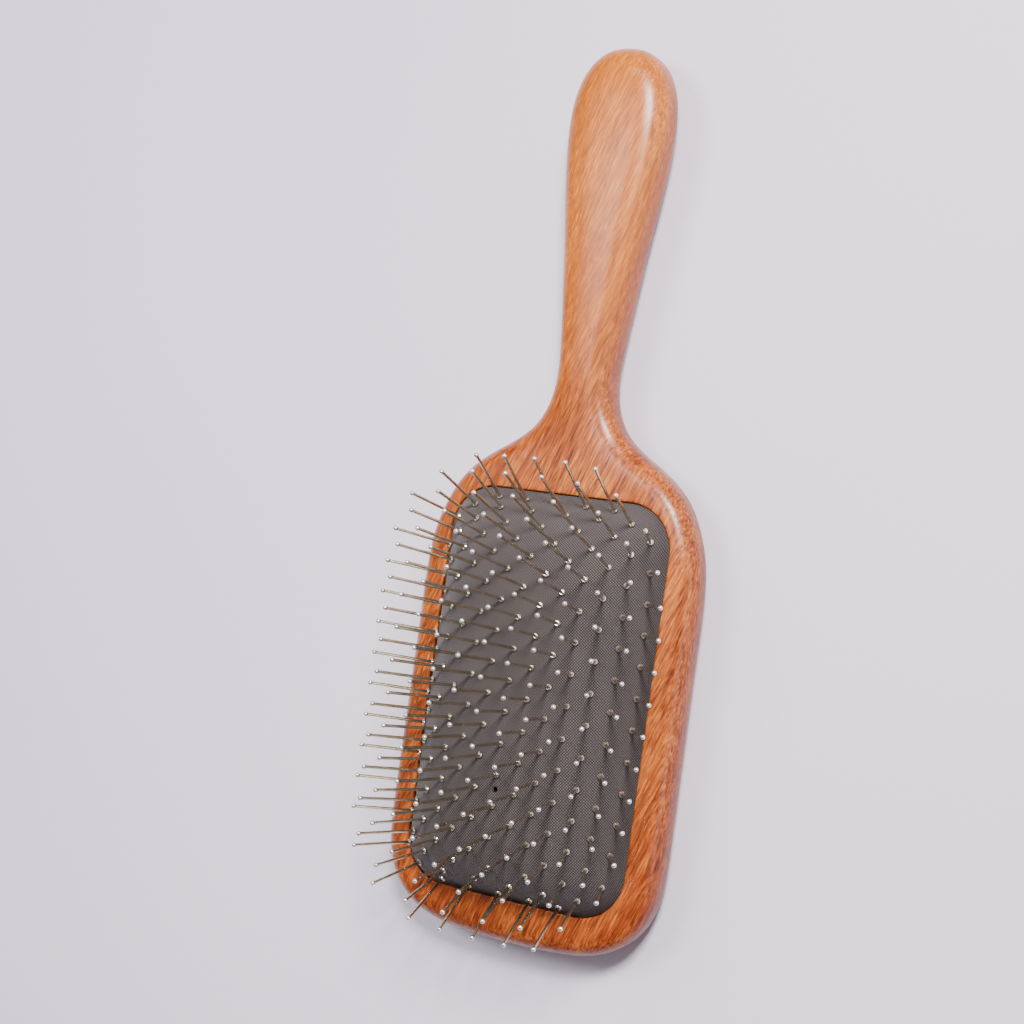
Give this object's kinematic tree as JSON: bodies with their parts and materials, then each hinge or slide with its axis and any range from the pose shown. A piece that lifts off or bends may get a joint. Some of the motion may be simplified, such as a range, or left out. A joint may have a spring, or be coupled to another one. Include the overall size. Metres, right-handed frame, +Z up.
{
  "type": "cushion paddle hairbrush",
  "caption": "Wooden paddle hairbrush with a swelling handle and a domed fabric-faced air cushion set with ball-tipped wire pins.",
  "frame": {"origin": "middle of the whole brush on the flat plane of its back, which is the plane it lies on", "axes": "+Z up out of the pins, +Y towards the handle end, +X across the paddle; x = 0 is the symmetry plane"},
  "size_m": [0.0863, 0.25, 0.048],
  "materials": {
    "wood": "satin varnish",
    "fabric": "matt plain weave",
    "rubber": "matt",
    "pin_wire": "drawn nickel",
    "collar": "bright",
    "ball_tip": "bright"
  },
  "bodies": {
    "body": {"wood_body": "wood", "cushion_rubber": "rubber", "cushion_fabric": "fabric"},
    "pins_centre": {"centre_pins": "pin_wire", "centre_collars": "collar", "centre_ball_tips": "ball_tip"},
    "pins_left": {"left_pins": "pin_wire", "left_collars": "collar", "left_ball_tips": "ball_tip"},
    "pins_right": {"right_pins": "pin_wire", "right_collars": "collar", "right_ball_tips": "ball_tip"},
    "pins_top": {"top_pins": "pin_wire", "top_collars": "collar", "top_ball_tips": "ball_tip"},
    "pins_bottom": {"bottom_pins": "pin_wire", "bottom_collars": "collar", "bottom_ball_tips": "ball_tip"},
    "pins_top_left": {"top_left_pins": "pin_wire", "top_left_collars": "collar", "top_left_ball_tips": "ball_tip"},
    "pins_top_right": {"top_right_pins": "pin_wire", "top_right_collars": "collar", "top_right_ball_tips": "ball_tip"},
    "pins_bottom_left": {"bottom_left_pins": "pin_wire", "bottom_left_collars": "collar", "bottom_left_ball_tips": "ball_tip"},
    "pins_bottom_right": {"bottom_right_pins": "pin_wire", "bottom_right_collars": "collar", "bottom_right_ball_tips": "ball_tip"}
  },
  "joints": [
    {"name": "cushion_press", "type": "slide", "parent": "body", "child": "pins_centre", "axis": [0, 0, -1], "range_m": [0, 0.005], "stiffness_N_per_m": 2000, "deforming": ["cushion_rubber", "cushion_fabric"]},
    {"name": "left_tilt", "type": "hinge", "parent": "body", "child": "pins_left", "pos_m": [-0.03797, -0.05744, 0.02203], "axis": [0, 1, 0], "range_deg": [0, 14.37]},
    {"name": "right_tilt", "type": "hinge", "parent": "body", "child": "pins_right", "pos_m": [0.03797, -0.05744, 0.02203], "axis": [0, -1, 0], "range_deg": [0, 14.37]},
    {"name": "top_tilt", "type": "hinge", "parent": "body", "child": "pins_top", "pos_m": [0, 0.00263, 0.02141], "axis": [1, 0, 0], "range_deg": [0, 13.29]},
    {"name": "bottom_tilt", "type": "hinge", "parent": "body", "child": "pins_bottom", "pos_m": [0, -0.11864, 0.02293], "axis": [-1, 0, 0], "range_deg": [0, 14.37]},
    {"name": "top_left_tilt", "type": "hinge", "parent": "body", "child": "pins_top_left", "pos_m": [-0.02995, -0.00263, 0.01891], "axis": [0.7071, 0.7071, 0], "range_deg": [0, 12.11]},
    {"name": "top_right_tilt", "type": "hinge", "parent": "body", "child": "pins_top_right", "pos_m": [0.02995, -0.00263, 0.01891], "axis": [0.7071, -0.7071, 0], "range_deg": [0, 12.11]},
    {"name": "bottom_left_tilt", "type": "hinge", "parent": "body", "child": "pins_bottom_left", "pos_m": [-0.03002, -0.11183, 0.02048], "axis": [-0.7071, 0.7071, 0], "range_deg": [0, 14.37]},
    {"name": "bottom_right_tilt", "type": "hinge", "parent": "body", "child": "pins_bottom_right", "pos_m": [0.03002, -0.11183, 0.02048], "axis": [-0.7071, -0.7071, 0], "range_deg": [0, 14.37]}
  ],
  "couplings": [
    {"joint": "left_tilt", "follows": "cushion_press", "rad_per_m": 50},
    {"joint": "right_tilt", "follows": "cushion_press", "rad_per_m": 50},
    {"joint": "top_tilt", "follows": "cushion_press", "rad_per_m": 46.22},
    {"joint": "bottom_tilt", "follows": "cushion_press", "rad_per_m": 50},
    {"joint": "top_left_tilt", "follows": "cushion_press", "rad_per_m": 42.08},
    {"joint": "top_right_tilt", "follows": "cushion_press", "rad_per_m": 42.08},
    {"joint": "bottom_left_tilt", "follows": "cushion_press", "rad_per_m": 50},
    {"joint": "bottom_right_tilt", "follows": "cushion_press", "rad_per_m": 50}
  ]
}
